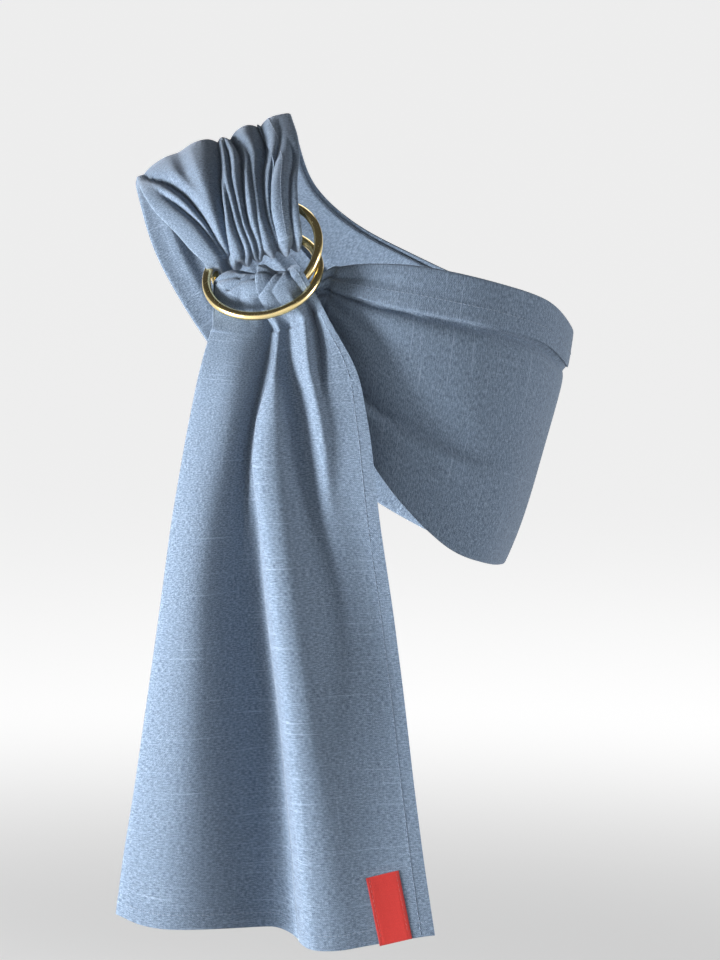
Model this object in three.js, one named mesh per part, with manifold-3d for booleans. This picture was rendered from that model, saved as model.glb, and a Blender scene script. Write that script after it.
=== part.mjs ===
// A ring sling: one long linen cloth, gathered and sewn round two aluminium rings at the shoulder,
// that runs down the wearer's back, under the far arm, across the chest and up through both rings,
// and ends in a free hanging tail. Modelled as it is worn. Millimetres.
// +X is towards the wearer's left, +Y towards the wearer's back, +Z up. The origin is on the
// underside of the shoulder section, where it lies on top of the wearer's right shoulder.
import * as THREE from 'three';
import { mergeVertices } from 'three/addons/utils/BufferGeometryUtils.js';
import Module from 'manifold-3d';

const wasm = await Module();
wasm.setup();

// ---------------------------------------------------------------- driving dimensions
const GAP = 0.4;

// The two rings are alike. Each hangs in the casing by its upper arc and turns a little about a line,
// its lower arc outwards from the wearer. The front ring is carried by the rear one.
const RING_RADIUS = 41.3;
const RING_WIRE_RADIUS = 3.175;
const REAR_RING = {
  centre: [37.1, -90.9, -68.4],
  normal: [-0.386, -0.749, 0.539],
  pivot: [31.1, -81.6, -59.7],
  axis: [-0.819, 0.009, -0.574],
  travel: 8,
};
const FRONT_RING = {
  centre: [35.1, -103, -82.5],
  normal: [-0.175, -0.655, 0.736],
  pivot: [40.2, -97.2, -76.1],
  axis: [-0.843, 0.486, 0.232],
  travel: 9,
};

// The loop of cloth, as stations along its length. Each gives the middle of the cloth bundle at its
// upper rail and its lower rail, how far it bulges outwards between them, and its thickness.
const LOOP = [
  { upper: [56, -47, -8], lower: [-25, -50, -38], bulge: 9, thick: 17 },
  { upper: [59, -24, 8], lower: [-46, -30, -32], bulge: 9, thick: 15 },
  { upper: [54, 5, 24], lower: [-60, 2, -20], bulge: 8, thick: 12 },
  { upper: [57, 48, 10], lower: [-61, 45, -34], bulge: 8, thick: 11 },
  { upper: [70, 84, -28], lower: [-47, 84, -86], bulge: 8, thick: 9 },
  { upper: [102, 104, -58], lower: [-8, 106, -154], bulge: 7, thick: 8 },
  { upper: [152, 106, -84], lower: [46, 112, -218], bulge: 7, thick: 7 },
  { upper: [206, 88, -108], lower: [112, 104, -268], bulge: 8, thick: 7 },
  { upper: [246, 50, -124], lower: [172, 72, -298], bulge: 9, thick: 7 },
  { upper: [258, 2, -130], lower: [207, 12, -304], bulge: 8, thick: 7 },
  { upper: [240, -46, -106], lower: [197, -46, -300], bulge: 8, thick: 7 },
  { upper: [202, -82, -90], lower: [167, -78, -284], bulge: 9, thick: 7 },
  { upper: [152, -98, -78], lower: [129, -96, -243], bulge: 8, thick: 7 },
  { upper: [112, -98, -76], lower: [96, -99, -190], bulge: 6, thick: 8 },
  { upper: [84, -90, -80], lower: [66, -95, -134], bulge: 3, thick: 10 },
];
const SHOULDER_STATIONS = [0, 4];
const BACK_STATIONS = [4, 7.5];
const SIDE_STATIONS = [7.5, 10.5];
const CHEST_STATIONS = [10.5, 13];
const THROAT_STATIONS = [13, 14];
const TOP_BAND_SHARE = 0.17;
const TOP_BAND_THICK = 9;

// The casing: the cloth bundle folded round both rings, as a tube along its own slanting axis. Its
// profile is across that axis, [outwards, upwards], round the pocket that the rings turn in.
const CASING = { middle: [29, -84, -64], axis: [0.95, 0.03, 0.31], halfLength: 29, rounding: 0.25 };
const CASING_OUTSIDE = [[10, -13], [10, 5], [-9, 34], [-34, 34], [-34, -13]];
const CASING_POCKET = [[7, -10], [7, 4], [-11, 31], [-31, 31], [-31, -10]];

// The turned-back end of the cloth, sewn to the underside of the shoulder bundle.
const FLAP = { stations: [0.04, 1.3], thick: 3 };
const STITCH_ROWS = [0.35, 0.6, 0.85];
const STITCH_THICK = 0.8;

// The fold of cloth that is threaded over the rear ring's lower arc.
const BIGHT = { spread: 50, lean: 8, depth: 12, height: 14, rise: 7 };

// The tail: its left and right edges and its middle depth at some heights, from the top down.
const TAIL_LEFT = [[2, -112], [-10, -150], [-30, -258], [-48, -388], [-66, -504], [-74, -565]];
const TAIL_RIGHT = [[76, -112], [102, -150], [119, -250], [137, -388], [151, -504], [161, -565]];
const TAIL_DEPTH = { top: -120, bottom: -141, bottomAt: -560 };
const TAIL_THICK = { top: 9, full: 26, fullAt: -260 };
const TAIL_TOP = -116;
const SWING_PIVOT = -182;
const FOLD_PIVOT = -372;
const TAIL_END = [[0, -539], [0.15, -552], [0.5, -559], [0.66, -568], [1, -557]];
const HEM_HEIGHT = 13;
const HEM_SWELL = 1;
const LABEL = { middle: [126, -537], width: 24, height: 50, thick: 1.2, lean: 0.2, seam: 2 };

// ---------------------------------------------------------------- helpers
const vector = (p) => new THREE.Vector3(...p);

// Makes a closed solid from strip-shaped sections, each an outer and an inner row of points.
function stripSolid(sections) {
  const count = sections[0].outer.length;
  const positions = [];
  const index = [];
  for (const section of sections) {
    for (const point of [...section.outer, ...section.inner]) {
      positions.push(point.x, point.y, point.z);
    }
  }
  const at = (section, row, column) => section * 2 * count + row * count + column;
  const quad = (a, b, c, d) => index.push(a, b, c, a, c, d);
  const last = sections.length - 1;
  for (let s = 0; s < last; s += 1) {
    for (let c = 0; c < count - 1; c += 1) {
      quad(at(s, 0, c), at(s, 0, c + 1), at(s + 1, 0, c + 1), at(s + 1, 0, c));
      quad(at(s, 1, c + 1), at(s, 1, c), at(s + 1, 1, c), at(s + 1, 1, c + 1));
    }
    quad(at(s, 1, 0), at(s, 0, 0), at(s + 1, 0, 0), at(s + 1, 1, 0));
    const end = count - 1;
    quad(at(s, 0, end), at(s, 1, end), at(s + 1, 1, end), at(s + 1, 0, end));
  }
  for (let c = 0; c < count - 1; c += 1) {
    quad(at(0, 0, c + 1), at(0, 0, c), at(0, 1, c), at(0, 1, c + 1));
    quad(at(last, 0, c), at(last, 0, c + 1), at(last, 1, c + 1), at(last, 1, c));
  }
  const geometry = new THREE.BufferGeometry();
  geometry.setAttribute('position', new THREE.Float32BufferAttribute(positions, 3));
  geometry.setIndex(index);
  return facingOut(geometry);
}

// Turns every triangle round if the closed geometry is inside out.
function facingOut(geometry) {
  const position = geometry.attributes.position;
  const index = geometry.index.array;
  const [a, b, c] = [new THREE.Vector3(), new THREE.Vector3(), new THREE.Vector3()];
  let volume = 0;
  for (let i = 0; i < index.length; i += 3) {
    a.fromBufferAttribute(position, index[i]);
    b.fromBufferAttribute(position, index[i + 1]);
    c.fromBufferAttribute(position, index[i + 2]);
    volume += a.dot(b.cross(c));
  }
  if (volume < 0) {
    for (let i = 0; i < index.length; i += 3) {
      [index[i + 1], index[i + 2]] = [index[i + 2], index[i + 1]];
    }
  }
  return geometry;
}

function toManifold(geometry) {
  const bare = geometry.clone();
  bare.deleteAttribute('normal');
  bare.deleteAttribute('uv');
  const merged = mergeVertices(bare, 1e-4);
  const vertProperties = new Float32Array(merged.attributes.position.array);
  const triVerts = new Uint32Array(merged.index.array);
  return new wasm.Manifold(new wasm.Mesh({ numProp: 3, vertProperties, triVerts }));
}

function toGeometry(solid) {
  const mesh = solid.getMesh();
  const geometry = new THREE.BufferGeometry();
  geometry.setAttribute('position', new THREE.Float32BufferAttribute(mesh.vertProperties, 3));
  geometry.setIndex([...mesh.triVerts]);
  return geometry;
}

// The largest of the bodies that a cut leaves.
function largestBody(solid) {
  const bodies = solid.decompose();
  bodies.sort((a, b) => b.volume() - a.volume());
  return bodies[0];
}

// ---------------------------------------------------------------- the loop of cloth
const curveThrough = (rail) => new THREE.CatmullRomCurve3(LOOP.map((s) => vector(s[rail])));
const upperRail = curveThrough('upper');
const lowerRail = curveThrough('lower');
const STATIONS = LOOP.length - 1;

// A smooth value of one station property anywhere along the loop.
function alongLoop(station, name) {
  const first = Math.min(Math.floor(station), STATIONS - 1);
  const share = station - first;
  return LOOP[first][name] * (1 - share) + LOOP[first + 1][name] * share;
}

// The cloth's outer and inner points across the band at one station, from share v0 to v1 of it.
function bandSection(station, v0, v1, thickness, columns, under) {
  const u = station / STATIONS;
  const upper = upperRail.getPoint(u);
  const lower = lowerRail.getPoint(u);
  const along = upperRail.getTangent(u).add(lowerRail.getTangent(u)).normalize();
  const across = lower.clone().sub(upper);
  const outward = along.clone().cross(across).normalize();
  const bulge = alongLoop(station, 'bulge');
  const outer = [];
  const inner = [];
  for (let i = 0; i < columns; i += 1) {
    const share = i / (columns - 1);
    const v = v0 + (v1 - v0) * share;
    const crown = bulge * 4 * v * (1 - v);
    const middle = upper.clone().addScaledVector(across, v).addScaledVector(outward, crown);
    const slope = across.clone().addScaledVector(outward, bulge * 4 * (1 - 2 * v));
    const normal = along.clone().cross(slope).normalize();
    const edge = Math.abs(2 * share - 1);
    const half = 0.5 * thickness * (1 - 0.5 * edge ** 6);
    const below = under ? under + (alongLoop(station, 'thick') - thickness) / 2 : 0;
    outer.push(middle.clone().addScaledVector(normal, half - below));
    inner.push(middle.clone().addScaledVector(normal, -half - below));
  }
  return { outer, inner };
}

// A stretch of the cloth band between two stations, as a closed solid.
function clothBand(from, to, { v0 = 0, v1 = 1, columns = 9, rows = 8, thickness = null, under = 0 }) {
  const sections = [];
  for (let i = 0; i <= rows; i += 1) {
    const station = from + ((to - from) * i) / rows;
    const thick = thickness ?? alongLoop(station, 'thick');
    sections.push(bandSection(station, v0, v1, thick, columns, under));
  }
  return stripSolid(sections);
}

// ---------------------------------------------------------------- the tail
const railAt = (points) => {
  const curve = new THREE.SplineCurve(points.map(([x, z]) => new THREE.Vector2(x, z)));
  const steps = curve.getPoints(120);
  return (z) => {
    const below = steps.findIndex((p) => p.y <= z);
    if (below <= 0) return below === 0 ? steps[0].x : steps[steps.length - 1].x;
    const [a, b] = [steps[below - 1], steps[below]];
    return a.x + ((b.x - a.x) * (a.y - z)) / (a.y - b.y);
  };
};
const tailLeft = railAt(TAIL_LEFT);
const tailRight = railAt(TAIL_RIGHT);

// The height of the tail's end at share v of its width.
function tailEnd(v) {
  const next = Math.max(1, TAIL_END.findIndex(([share]) => share >= v));
  const [[v0, z0], [v1, z1]] = [TAIL_END[next - 1], TAIL_END[next]];
  return THREE.MathUtils.mapLinear(v, v0, v1, z0, z1);
}

function tailMiddle(z) {
  const { top, bottom, bottomAt } = TAIL_DEPTH;
  return THREE.MathUtils.mapLinear(z, TAIL_TOP, bottomAt, top, bottom);
}

function tailHalfThick(z) {
  const open = THREE.MathUtils.smoothstep(-z, -TAIL_TOP, -TAIL_THICK.fullAt);
  return 0.5 * THREE.MathUtils.lerp(TAIL_THICK.top, TAIL_THICK.full, open);
}

// How far the front of the tail stands out at share v of its width: a round fold on the left, a
// valley beside the middle, and a flat pleat on the right.
function pleatDepth(v) {
  const roll = Math.exp(-(((v - 0.2) / 0.2) ** 2));
  const pleat = THREE.MathUtils.smoothstep(v, 0.46, 0.6);
  return 0.35 + 0.65 * Math.max(roll, pleat);
}

// Half the thickness on the tail's front side at share v of its width.
function tailFrontHalf(v, z) {
  const open = THREE.MathUtils.smoothstep(-z, -TAIL_TOP, -TAIL_THICK.fullAt);
  const edge = 1 - 0.5 * Math.abs(2 * v - 1) ** 8;
  return tailHalfThick(z) * edge * THREE.MathUtils.lerp(1, 2 * pleatDepth(v) - 1, open);
}

// A stretch of the tail between two heights, each given at share v of the width. A rounded top is a
// knuckle about the pivot below it.
function tailPiece(topAt, bottomAt, { knuckle = 0, columns = 16, rows = 6, extra = 0 }) {
  const sections = [];
  for (let i = 0; i <= columns; i += 1) {
    const v = i / columns;
    const top = topAt(v);
    const start = top - knuckle;
    const heights = knuckle ? [top, top - 0.15 * knuckle, top - 0.5 * knuckle] : [];
    for (let k = 0; k <= rows; k += 1) heights.push(start + ((bottomAt(v) - start) * k) / rows);
    const outer = [];
    const inner = [];
    for (const z of heights) {
      const x = THREE.MathUtils.lerp(tailLeft(z), tailRight(z), v);
      const over = knuckle ? Math.max(0, (z - start) / knuckle) : 0;
      const rounded = Math.max(0.12, Math.sqrt(1 - Math.min(1, over * over)));
      const edge = 1 - 0.5 * Math.abs(2 * v - 1) ** 8;
      const front = (tailFrontHalf(v, z) + extra) * rounded;
      const back = (tailHalfThick(z) * edge + extra) * rounded;
      outer.push(new THREE.Vector3(x, tailMiddle(z) - front, z));
      inner.push(new THREE.Vector3(x, tailMiddle(z) + back, z));
    }
    sections.push({ outer, inner });
  }
  return stripSolid(sections);
}

// A thin patch on the front of the tail, a gap above it, following its surface. pointAt gives x and
// z for shares a and b of the patch's width and height.
function tailPatch(pointAt, { thick, lift = GAP, across = 2, down = 4 }) {
  const sections = [];
  for (let i = 0; i <= across; i += 1) {
    const outer = [];
    const inner = [];
    for (let k = 0; k <= down; k += 1) {
      const [x, z] = pointAt(i / across, k / down);
      const v = (x - tailLeft(z)) / (tailRight(z) - tailLeft(z));
      const front = tailMiddle(z) - tailFrontHalf(v, z) - lift;
      outer.push(new THREE.Vector3(x, front - thick, z));
      inner.push(new THREE.Vector3(x, front, z));
    }
    sections.push({ outer, inner });
  }
  return stripSolid(sections);
}

// A patch of the label's leaning rectangle, between shares a0 and a1 of its width.
function labelPatch(a0, a1, lift, thick) {
  const [middleX, middleZ] = LABEL.middle;
  const pointAt = (a, b) => {
    const across = LABEL.width * (THREE.MathUtils.lerp(a0, a1, a) - 0.5);
    const up = LABEL.height * (0.5 - b);
    return [
      middleX + across * Math.cos(LABEL.lean) - up * Math.sin(LABEL.lean),
      middleZ + up * Math.cos(LABEL.lean) + across * Math.sin(LABEL.lean),
    ];
  };
  return tailPatch(pointAt, { thick, lift });
}

// ---------------------------------------------------------------- the rings
// The turn that takes a torus's own axis, +Z, to the ring's normal.
function ringMatrix(ring) {
  const turn = new THREE.Quaternion().setFromUnitVectors(
    new THREE.Vector3(0, 0, 1),
    vector(ring.normal).normalize(),
  );
  return new THREE.Matrix4().compose(vector(ring.centre), turn, new THREE.Vector3(1, 1, 1));
}

const ringGeometry = (ring) =>
  new THREE.TorusGeometry(RING_RADIUS, RING_WIRE_RADIUS, 12, 60).applyMatrix4(ringMatrix(ring));

// ---------------------------------------------------------------- the casing
// The casing's own frame: x inwards to the wearer, y up its slope, z along its axis.
function casingMatrix() {
  const along = vector(CASING.axis).normalize();
  const up = new THREE.Vector3(0, 0, 1).addScaledVector(along, -along.z).normalize();
  const inwards = up.clone().cross(along);
  const matrix = new THREE.Matrix4().makeBasis(inwards, up, along);
  return matrix.setPosition(vector(CASING.middle).addScaledVector(along, -CASING.halfLength));
}

function casingPrism(profile, margin) {
  const corners = profile.map(([outwards, up]) => new THREE.Vector3(-outwards, up, 0));
  const outline = new THREE.CatmullRomCurve3(corners, true, 'catmullrom', CASING.rounding);
  const shape = new THREE.Shape(outline.getPoints(5 * corners.length).slice(0, -1));
  const depth = 2 * (CASING.halfLength + margin);
  const prism = new THREE.ExtrudeGeometry(shape, { depth, bevelEnabled: false });
  prism.translate(0, 0, -margin);
  return prism.applyMatrix4(casingMatrix());
}

// A ring's turn about its own line, in degrees.
function ringTurn(ring, degrees) {
  const pivot = vector(ring.pivot);
  const angle = THREE.MathUtils.degToRad(degrees);
  const turn = new THREE.Matrix4().makeRotationAxis(vector(ring.axis).normalize(), angle);
  const back = new THREE.Matrix4().makeTranslation(-pivot.x, -pivot.y, -pivot.z);
  return new THREE.Matrix4().makeTranslation(pivot.x, pivot.y, pivot.z).multiply(turn).multiply(back);
}

// The space that the front ring sweeps, as rings with a little room round the wire.
function frontRingSweep() {
  const places = [];
  for (const lift of [0, REAR_RING.travel]) {
    for (const tilt of [0, 0.35, 0.7, 1].map((share) => share * FRONT_RING.travel)) {
      const room = new THREE.TorusGeometry(RING_RADIUS, RING_WIRE_RADIUS + 2 * GAP, 8, 40);
      room.applyMatrix4(ringMatrix(FRONT_RING));
      room.applyMatrix4(ringTurn(FRONT_RING, tilt));
      places.push(toManifold(room.applyMatrix4(ringTurn(REAR_RING, lift))));
    }
  }
  return places.reduce((sum, place) => sum.add(place));
}

function casingGeometry() {
  const outside = toManifold(casingPrism(CASING_OUTSIDE, 0));
  const hollow = outside.subtract(toManifold(casingPrism(CASING_POCKET, 2)));
  return toGeometry(largestBody(hollow.subtract(frontRingSweep())));
}

// ---------------------------------------------------------------- the threaded fold
// A rounded bundle that follows the rear ring's lower arc, with the ring's own channel cut in it.
function bightGeometry() {
  const centre = vector(REAR_RING.centre);
  const normal = vector(REAR_RING.normal).normalize();
  const down = new THREE.Vector3(0, 0, -1).addScaledVector(normal, normal.z).normalize();
  const side = normal.clone().cross(down);
  const sections = [];
  const turns = 10;
  for (let i = 0; i <= turns; i += 1) {
    const share = (2 * i) / turns - 1;
    const angle = THREE.MathUtils.degToRad(BIGHT.lean + BIGHT.spread * share);
    const radial = down.clone().multiplyScalar(Math.cos(angle)).addScaledVector(side, Math.sin(angle));
    const middle = centre.clone().addScaledVector(radial, RING_RADIUS - BIGHT.rise);
    const size = 1 - 0.35 * share ** 4;
    const outer = [];
    const inner = [];
    for (let k = 0; k <= 6; k += 1) {
      const around = Math.PI * (0.06 + (0.88 * k) / 6);
      const rise = -Math.cos(around) * BIGHT.height * size;
      const depth = Math.sin(around) * BIGHT.depth * size;
      outer.push(middle.clone().addScaledVector(radial, rise).addScaledVector(normal, depth));
      inner.push(middle.clone().addScaledVector(radial, rise).addScaledVector(normal, -depth));
    }
    sections.push({ outer, inner });
  }
  const channel = new THREE.TorusGeometry(RING_RADIUS, RING_WIRE_RADIUS + GAP, 10, 48);
  const bundle = toManifold(stripSolid(sections));
  return toGeometry(largestBody(bundle.subtract(toManifold(channel.applyMatrix4(ringMatrix(REAR_RING))))));
}

// ---------------------------------------------------------------- materials
const cloth = (tint) => new THREE.MeshStandardMaterial({ color: tint, roughness: 0.9, metalness: 0 });
const gold = () => new THREE.MeshStandardMaterial({ color: 0xd8b765, roughness: 0.28, metalness: 1 });
const red = () => new THREE.MeshStandardMaterial({ color: 0xc0281f, roughness: 0.75, metalness: 0 });
const LINEN = 0x7389a6;
const THREAD = 0x5f7491;

// ---------------------------------------------------------------- the sling
const sling = new THREE.Group();

function add(name, geometry, material) {
  const mesh = new THREE.Mesh(geometry, material);
  mesh.name = name;
  sling.add(mesh);
}

add('ring_rear', ringGeometry(REAR_RING), gold());
add('ring_front', ringGeometry(FRONT_RING), gold());
add('ring_casing', casingGeometry(), cloth(LINEN));
add('shoulder_cap', clothBand(...SHOULDER_STATIONS, { rows: 16, columns: 11 }), cloth(LINEN));
add(
  'casing_return_flap',
  clothBand(...FLAP.stations, { v0: 0.1, v1: 0.9, rows: 5, thickness: FLAP.thick, under: FLAP.thick + GAP }),
  cloth(LINEN),
);
STITCH_ROWS.forEach((station, i) => {
  const under = FLAP.thick + 2 * GAP + STITCH_THICK;
  const row = { v0: 0.12, v1: 0.88, rows: 1, thickness: STITCH_THICK, under };
  add(`casing_stitch_row_${i + 1}`, clothBand(station, station + 0.04, row), cloth(THREAD));
});
add('back_panel', clothBand(BACK_STATIONS[0] + 0.01, BACK_STATIONS[1], { rows: 14 }), cloth(LINEN));
add('side_panel', clothBand(SIDE_STATIONS[0] + 0.01, SIDE_STATIONS[1], { rows: 12 }), cloth(LINEN));
const chestFrom = CHEST_STATIONS[0] + 0.01;
add(
  'chest_top_band',
  clothBand(chestFrom, CHEST_STATIONS[1], { v1: TOP_BAND_SHARE, thickness: TOP_BAND_THICK, columns: 5 }),
  cloth(LINEN),
);
const panelShape = { v0: TOP_BAND_SHARE + 0.01, rows: 10 };
add('chest_panel', clothBand(chestFrom, CHEST_STATIONS[1], panelShape), cloth(LINEN));
add('chest_throat', clothBand(THROAT_STATIONS[0] + 0.02, THROAT_STATIONS[1], { rows: 5 }), cloth(LINEN));
add('threaded_bight', bightGeometry(), cloth(LINEN));

const level = (z) => () => z;
const swingTop = SWING_PIVOT + tailHalfThick(SWING_PIVOT);
const foldTop = FOLD_PIVOT + tailHalfThick(FOLD_PIVOT);
const hemTop = (v) => tailEnd(v) + HEM_HEIGHT;
add('tail_neck', tailPiece(level(TAIL_TOP), level(swingTop + 3 * GAP), { rows: 5 }), cloth(LINEN));
const upperShape = { knuckle: swingTop - SWING_PIVOT, rows: 7 };
add('tail_upper', tailPiece(level(swingTop), level(foldTop + 3 * GAP), upperShape), cloth(LINEN));
const lowerShape = { knuckle: foldTop - FOLD_PIVOT, rows: 6 };
add('tail_lower', tailPiece(level(foldTop), hemTop, lowerShape), cloth(LINEN));
const hemShape = { rows: 1, extra: HEM_SWELL };
add('tail_end_hem', tailPiece((v) => hemTop(v) - GAP, tailEnd, hemShape), cloth(LINEN));
const hemSeam = (a, b) => {
  const v = THREE.MathUtils.lerp(0.04, 0.96, a);
  const z = hemTop(v) + STITCH_THICK * (2 - b);
  return [THREE.MathUtils.lerp(tailLeft(z), tailRight(z), v), z];
};
const hemSeamShape = { thick: STITCH_THICK, lift: HEM_SWELL + GAP, across: 24, down: 1 };
add('hem_stitch', tailPatch(hemSeam, hemSeamShape), cloth(THREAD));
const labelLift = HEM_SWELL + STITCH_THICK + 3 * GAP;
add('label', labelPatch(0, 1, labelLift, LABEL.thick), red());
const seamShare = LABEL.seam / LABEL.width;
const seamLift = labelLift + LABEL.thick + GAP;
const seamWidth = STITCH_THICK / LABEL.width;
add('label_stitch_left', labelPatch(seamShare, seamShare + seamWidth, seamLift, 0.5), red());
add('label_stitch_right', labelPatch(1 - seamShare - seamWidth, 1 - seamShare, seamLift, 0.5), red());

export default sling;
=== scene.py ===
"""The looks of a ring sling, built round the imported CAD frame.

The cloth is one strip in folded layers. Key rows across it follow its way from the tail's hem to the sewn
flap, and each stretch is a fine grid between two of them. Shapes are in mm until a mesh is made.
"""
import math

import bpy
import numpy as np
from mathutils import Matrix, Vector


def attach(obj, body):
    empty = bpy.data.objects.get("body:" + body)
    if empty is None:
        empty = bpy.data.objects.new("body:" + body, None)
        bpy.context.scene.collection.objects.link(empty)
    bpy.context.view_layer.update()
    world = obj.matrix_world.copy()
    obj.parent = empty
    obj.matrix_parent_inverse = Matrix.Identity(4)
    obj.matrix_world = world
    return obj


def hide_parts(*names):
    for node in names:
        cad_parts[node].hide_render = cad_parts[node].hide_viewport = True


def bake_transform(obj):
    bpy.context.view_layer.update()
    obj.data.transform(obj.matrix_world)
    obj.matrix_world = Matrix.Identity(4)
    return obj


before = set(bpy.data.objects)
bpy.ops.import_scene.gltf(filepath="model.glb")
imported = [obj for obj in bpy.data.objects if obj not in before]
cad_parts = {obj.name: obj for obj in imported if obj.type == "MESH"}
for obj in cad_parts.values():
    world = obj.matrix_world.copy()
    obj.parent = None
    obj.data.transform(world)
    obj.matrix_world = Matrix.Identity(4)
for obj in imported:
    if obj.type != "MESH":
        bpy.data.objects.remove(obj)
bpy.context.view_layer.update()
MM = 0.001


def linked(name, data):
    """A new object that carries data, in the scene."""
    made = bpy.data.objects.new(name, data)
    bpy.context.scene.collection.objects.link(made)
    return made


# ------------------------ camera
CAMERA_AIM = Vector((0.105, -0.090, -0.2326))
CAMERA_DISTANCE = 3.5
CAMERA_ELEVATION = math.radians(6)
CAMERA_LENS = 181.0
camera_data = bpy.data.cameras.new("camera")
camera_data.lens = CAMERA_LENS
camera_data.sensor_fit = "VERTICAL"
camera_data.sensor_height = 36
camera = linked("camera", camera_data)
back = Vector((0, -math.cos(CAMERA_ELEVATION), math.sin(CAMERA_ELEVATION)))
camera.location = CAMERA_AIM + back * CAMERA_DISTANCE
camera.rotation_euler = (math.pi / 2 - CAMERA_ELEVATION, 0, 0)
bpy.context.scene.camera = camera

# ------------------------ driving dimensions
RING_RADIUS = 41.3
WIRE_RADIUS = 3.175
REAR_RING = dict(centre=(37.1, -90.9, -68.4), normal=(-0.386, -0.749, 0.539))
FRONT_RING = dict(centre=(35.1, -103.0, -82.5), normal=(-0.175, -0.655, 0.736))

CLOTH_WIDTH = 700.0
CLOTH_THICK = 0.8
HEM_WIDTH = 13.0
HEM_EXTRA = 0.5
RAIL_HEM_EXTRA = 0.25

# Across the cloth, a share of 0 is at the loop's upper rail, which becomes the tail's right edge, and 1
# is at the lower rail, which becomes the tail's left edge. The cloth is laid in seven layers between them.
LAYERS = 7
LAYER_COLUMNS = (78, 30, 112, 34, 44, 132, 44)

# The loop's rails, bulge and thickness at its stations, as in the CAD model.
LOOP_UPPER = [(54, 5, 24), (57, 48, 10), (70, 84, -28), (102, 104, -58), (152, 106, -84), (206, 88, -108),
              (246, 50, -124), (258, 2, -130), (240, -46, -106), (202, -82, -90), (152, -98, -78),
              (112, -98, -76), (84, -90, -80)]
LOOP_LOWER = [(-60, 2, -20), (-61, 45, -34), (-47, 84, -86), (-8, 106, -154), (46, 112, -218),
              (112, 104, -268), (172, 72, -298), (207, 12, -304), (197, -46, -300), (167, -78, -284),
              (129, -96, -243), (96, -99, -190), (66, -95, -134)]
LOOP_BULGE = [8, 8, 8, 7, 7, 8, 9, 8, 8, 9, 8, 6, 3]
LOOP_SPACING = [1.9, 1.8, 1.5, 1.3, 1.2, 1.2, 1.2, 1.2, 1.2, 1.2, 1.2, 1.4, 1.8]
LOOP_LAYERS = np.array([3, 2, 1, 0, -1, -2, -3.3])
LOOP_ROUND = np.full(6, 3.0)

# The front of the shoulder, from the CAD's second station down over the rings and round under the
# casing to the end of the sewn flap: right and left rails, bulge, layer spacing.
FRONT_UPPER = [(54, 5, 24), (59, -24, 9), (60, -46, -6), (59, -68, -20), (60, -85, -37), (62, -92, -50),
               (62, -88, -58), (60, -76, -62), (56, -60, -60), (54, -51, -50), (52, -46, -38), (48, -40, -24),
               (46, -26, -14), (45, -10, -5)]
FRONT_LOWER = [(-60, 2, -20), (-53, -30, -31), (-43, -50, -43), (-28, -70, -56), (-17, -84, -67),
               (-8, -91, -75), (-6, -88, -81), (-3, -76, -84), (2, -60, -81), (0, -50, -71),
               (-4, -45, -58), (-17, -42, -50), (-28, -30, -45), (-38, -16, -40)]
FRONT_BULGE = [8, 10, 12, 10, 8, 4, 1, 0, 0, 1, 2, 5, 7, 7]
FRONT_SPACING = [1.9, 1.8, 1.7, 1.5, 1.3, 1.1, 1.0, 1.0, 1.0, 1.0, 1.0, 0.95, 0.95, 0.95]

# The tail: edges and main fold at some heights.
TAIL_Z = [-80, -92, -105, -116, -150, -200, -258, -325, -388, -450, -504, -570]
TAIL_RIGHT = [66, 72, 78, 84, 104, 113, 119, 129, 137, 144, 151, 161]
TAIL_LEFT = [10, 7, 3, 0, -10, -20, -30, -39, -48, -57, -66, -74]
MAIN_FOLD_Z = [-105, -116, -145, -166, -186, -212, -257, -315, -381, -432, -497, -560]
MAIN_FOLD = [0.45, 0.46, 0.52, 0.587, 0.625, 0.635, 0.585, 0.55, 0.50, 0.47, 0.44, 0.425]
TAIL_DEPTH = dict(top=-120.0, bottom=-141.0, top_z=-116.0, bottom_z=-560.0)
TAIL_END = dict(share=[0, 0.3, 0.38, 0.43, 0.48, 0.68, 0.87, 0.95, 1.0],
                z=[-557, -566, -566, -563, -555, -552, -550, -546, -540])


# ------------------------ small helpers
def unit(v):
    v = np.asarray(v, float)
    return v / np.maximum(np.linalg.norm(v, axis=-1, keepdims=True), 1e-9)


def smooth(x, a, b):
    t = np.clip((np.asarray(x, float) - a) / (b - a), 0, 1)
    return t * t * (3 - 2 * t)


def along_keys(keys, at):
    """Rows between key rows by Catmull-Rom: keys is [K, ...], at holds places from 0 to K - 1."""
    keys = np.asarray(keys, float)
    at = np.clip(np.asarray(at, float), 0, len(keys) - 1)
    i = np.minimum(at.astype(int), len(keys) - 2)
    t = (at - i).reshape((-1,) + (1,) * (keys.ndim - 1))
    ends = np.concatenate([[2 * keys[0] - keys[1]], keys, [2 * keys[-1] - keys[-2]]])
    p0, p1, p2, p3 = ends[i], ends[i + 1], ends[i + 2], ends[i + 3]
    return 0.5 * (2 * p1 + (p2 - p0) * t + (2 * p0 - 5 * p1 + 4 * p2 - p3) * t**2
                  + (3 * p1 - p0 - 3 * p2 + p3) * t**3)


def between_keys(keys, at):
    """Rows between key rows by straight lines."""
    keys = np.asarray(keys, float)
    at = np.clip(np.asarray(at, float), 0, len(keys) - 1)
    i = np.minimum(at.astype(int), len(keys) - 2)
    t = (at - i).reshape((-1,) + (1,) * (keys.ndim - 1))
    return keys[i] * (1 - t) + keys[i + 1] * t


def eased(x, keys, values, reach):
    """Straight lines between keys, with the corners rounded over a reach on each side."""
    spots = np.asarray(x, float)[..., None] + reach * np.linspace(-1, 1, 9)
    return np.interp(spots, keys, values).mean(axis=-1)


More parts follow.
